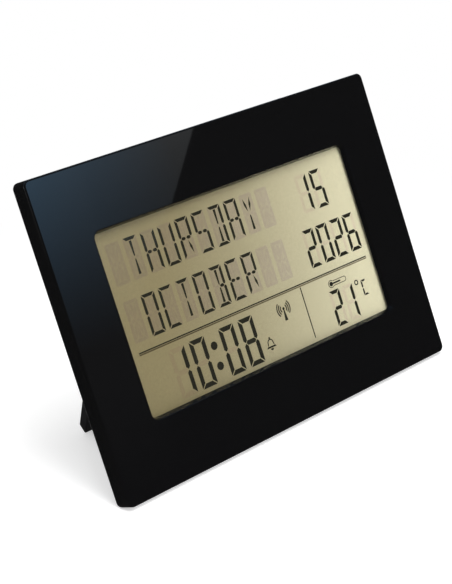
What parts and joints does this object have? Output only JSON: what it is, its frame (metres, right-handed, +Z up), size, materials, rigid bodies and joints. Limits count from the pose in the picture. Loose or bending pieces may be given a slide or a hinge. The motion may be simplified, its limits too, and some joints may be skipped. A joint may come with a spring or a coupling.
{
  "type": "calendar clock",
  "caption": "Slab-shaped calendar clock with a recessed segment display, leaning back on a fold-out rear stand, with rear keys, a battery box and a wall hanger.",
  "frame": {"origin": "middle of the narrow flat under the case's rear edge, on which the clock stands", "axes": "+Z up from the table, +X to the right as seen from the front, and the face looks towards -Y, leaning back 17.5 degrees"},
  "size_m": [0.216, 0.0878, 0.1449],
  "materials": {
    "gloss_abs": "high gloss moulded",
    "clear_acrylic": "polished clear",
    "black_tape": "matt",
    "polariser_film": "matt film",
    "display_glass": "polished",
    "reflector": "fine satin",
    "black_abs": "fine spark-eroded texture",
    "key_abs": "satin",
    "switch_resin": "satin",
    "connector_rubber": "matt, fine dark bands",
    "soft_rubber": "matt",
    "board_laminate": "solder mask",
    "metal_can": "bright",
    "sensor_resin": "gloss drop",
    "tinned_pin": "tinned",
    "nickel_steel": "nickel plated",
    "battery_can": "printed sleeve, plain",
    "black_wire": "smooth",
    "red_wire": "smooth",
    "sounder_brass": "rolled",
    "sounder_ceramic": "silvered",
    "ferrite": "sintered",
    "copper_winding": "enamelled wire",
    "zinc_screw": "zinc plated"
  },
  "bodies": {
    "case": {"front_frame": "gloss_abs", "window_lens": "clear_acrylic", "lens_tape": "black_tape", "front_polariser": "polariser_film", "front_glass": "display_glass", "rear_glass": "display_glass", "reflector_film": "reflector", "display_holder": "black_abs", "rear_cover": "black_abs", "aerial_clips": "black_abs", "push_switches": "switch_resin", "clock_chip": "switch_resin", "connector_strip": "connector_rubber", "main_board": "board_laminate", "radio_board": "board_laminate", "quartz_crystal": "metal_can", "capacitor": "metal_can", "temperature_sensor": "sensor_resin", "radio_pins": "tinned_pin", "negative_contact": "nickel_steel", "positive_contact": "nickel_steel", "bridge_contact": "nickel_steel", "upper_spring": "nickel_steel", "lower_spring": "nickel_steel", "upper_battery": "battery_can", "lower_battery": "battery_can", "negative_lead": "black_wire", "positive_lead": "red_wire", "sounder_disc": "sounder_brass", "sounder_ceramic": "sounder_ceramic", "ferrite_rod": "ferrite", "aerial_coil": "copper_winding", "case_screws": "zinc_screw", "holder_screws": "zinc_screw", "board_screws": "zinc_screw"},
    "stand": {"stand_frame": "black_abs", "stand_feet": "soft_rubber"},
    "battery_door": {"battery_door": "black_abs"},
    "mode_key": {"mode_key": "key_abs", "mode_plunger": "switch_resin"},
    "minus_key": {"minus_key": "key_abs", "minus_plunger": "switch_resin"},
    "plus_key": {"plus_key": "key_abs", "plus_plunger": "switch_resin"},
    "alarm_key": {"alarm_key": "key_abs", "alarm_plunger": "switch_resin"},
    "radio_key": {"radio_key": "key_abs", "radio_plunger": "switch_resin"}
  },
  "joints": [
    {"name": "stand_hinge", "type": "hinge", "parent": "case", "child": "stand", "pos_m": [0, 0.04039, 0.10416], "axis": [1, 0, 0], "range_deg": [-37.3, 0]},
    {"name": "battery_door_slide", "type": "slide", "parent": "case", "child": "battery_door", "axis": [1, 0, 0], "range_m": [0, 0.062]},
    {"name": "mode_key_press", "type": "slide", "parent": "case", "child": "mode_key", "axis": [0, -0.9537, 0.3007], "range_m": [0, 0.0006], "stiffness_N_per_m": 400, "springref_m": -0.0006},
    {"name": "minus_key_press", "type": "slide", "parent": "case", "child": "minus_key", "axis": [0, -0.9537, 0.3007], "range_m": [0, 0.0006], "stiffness_N_per_m": 400, "springref_m": -0.0006},
    {"name": "plus_key_press", "type": "slide", "parent": "case", "child": "plus_key", "axis": [0, -0.9537, 0.3007], "range_m": [0, 0.0006], "stiffness_N_per_m": 400, "springref_m": -0.0006},
    {"name": "alarm_key_press", "type": "slide", "parent": "case", "child": "alarm_key", "axis": [0, -0.9537, 0.3007], "range_m": [0, 0.0006], "stiffness_N_per_m": 400, "springref_m": -0.0006},
    {"name": "radio_key_press", "type": "slide", "parent": "case", "child": "radio_key", "axis": [0, -0.9537, 0.3007], "range_m": [0, 0.0006], "stiffness_N_per_m": 400, "springref_m": -0.0006}
  ]
}
